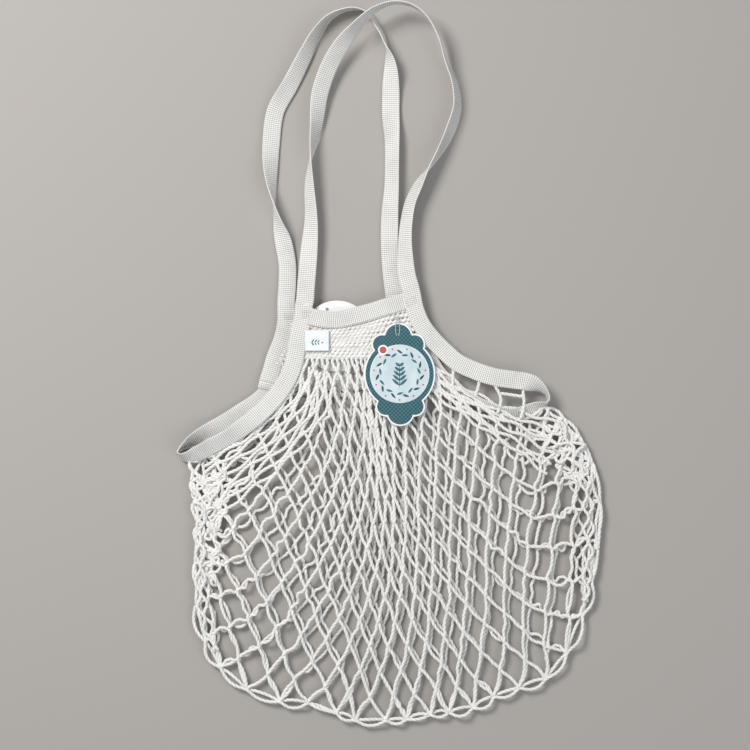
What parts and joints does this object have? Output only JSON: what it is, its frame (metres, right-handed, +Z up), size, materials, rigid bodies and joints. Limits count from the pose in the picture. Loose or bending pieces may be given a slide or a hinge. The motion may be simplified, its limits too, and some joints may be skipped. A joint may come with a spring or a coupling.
{
  "type": "mesh produce bag",
  "caption": "Knitted cotton net bag laid flat, with woven tape edges, two long loop handles that lift, a mouth that opens, a hang tag, a sewn label and an inner card.",
  "frame": {"origin": "centre of the bag's outline, at the surface that it lies on", "axes": "+Z up from the surface, +Y from the bag's bottom towards the tops of its handles, +X to the right seen from above"},
  "size_m": [0.3835, 0.6498, 0.0337],
  "materials": {
    "cotton_net": "soft twisted cotton cord, matt",
    "cotton_tape": "woven cotton tape with cross ribs, matt",
    "sewing_thread": "fine sewing thread",
    "satin_label": "printed satin ribbon",
    "printed_card": "printed card with a slight sheen",
    "sticker": "printed paper dot",
    "white_card": "uncoated white card",
    "nylon": "clear moulded nylon"
  },
  "bodies": {
    "root": {"back_net": "cotton_net", "net_side_fold": "cotton_net", "front_net_lower": "cotton_net", "back_mouth_knit": "cotton_net", "back_mouth_tape": "cotton_tape", "left_side_tape_back": "cotton_tape", "right_side_tape_back": "cotton_tape", "back_bar_tacks": "sewing_thread", "lap_seam_stitches": "sewing_thread", "inner_card_pin": "nylon"},
    "front_lip": {"front_net_upper": "cotton_net", "front_mouth_knit": "cotton_net", "front_mouth_tape": "cotton_tape", "left_side_tape_front": "cotton_tape", "right_side_tape_front": "cotton_tape", "front_bar_tacks": "sewing_thread", "front_mouth_stitches": "sewing_thread", "label_stitches": "sewing_thread"},
    "front_handle": {"front_handle_tape": "cotton_tape"},
    "back_handle": {"back_handle_tape": "cotton_tape"},
    "tag_pin": {"tag_pin_anchor": "nylon"},
    "hang_tag": {"hang_tag_card": "printed_card", "hang_tag_loop": "nylon", "hang_tag_sticker": "sticker"},
    "label": {"sewn_label": "satin_label"},
    "inner_card": {"inner_card": "white_card"}
  },
  "joints": [
    {"name": "front_lip_lift", "type": "hinge", "parent": "root", "child": "front_lip", "pos_m": [-0.0164, -0.061, 0.0146], "axis": [0.9894, 0.1455, 0], "range_deg": [0, 45]},
    {"name": "front_handle_lift", "type": "hinge", "parent": "front_lip", "child": "front_handle", "pos_m": [-0.03015, 0.0608, 0.0146], "axis": [0.9957, 0.0931, 0], "range_deg": [0, 90]},
    {"name": "back_handle_lift", "type": "hinge", "parent": "root", "child": "back_handle", "pos_m": [-0.03015, 0.0608, 0.0146], "axis": [0.9957, 0.0931, 0], "range_deg": [0, 90]},
    {"name": "hang_tag_swing", "type": "hinge", "parent": "front_lip", "child": "tag_pin", "pos_m": [0.005, 0.0435, 0.0146], "axis": [0, 0, 1], "range_deg": [-30, 30]},
    {"name": "hang_tag_flip", "type": "hinge", "parent": "tag_pin", "child": "hang_tag", "pos_m": [0.005, 0.0415, 0.0169], "axis": [-1, 0, 0], "range_deg": [0, 90]},
    {"name": "label_flip", "type": "hinge", "parent": "front_lip", "child": "label", "pos_m": [-0.0673, 0.0319, 0.0155], "axis": [-1, 0, 0], "range_deg": [0, 110]},
    {"name": "inner_card_swing", "type": "hinge", "parent": "root", "child": "inner_card", "pos_m": [-0.0585, 0.0509, 0.0065], "axis": [0, 0, 1], "range_deg": [-20, 20]}
  ],
  "couplings": [
    {"joint": "back_handle_lift", "follows": "front_handle_lift", "ratio": 1}
  ]
}
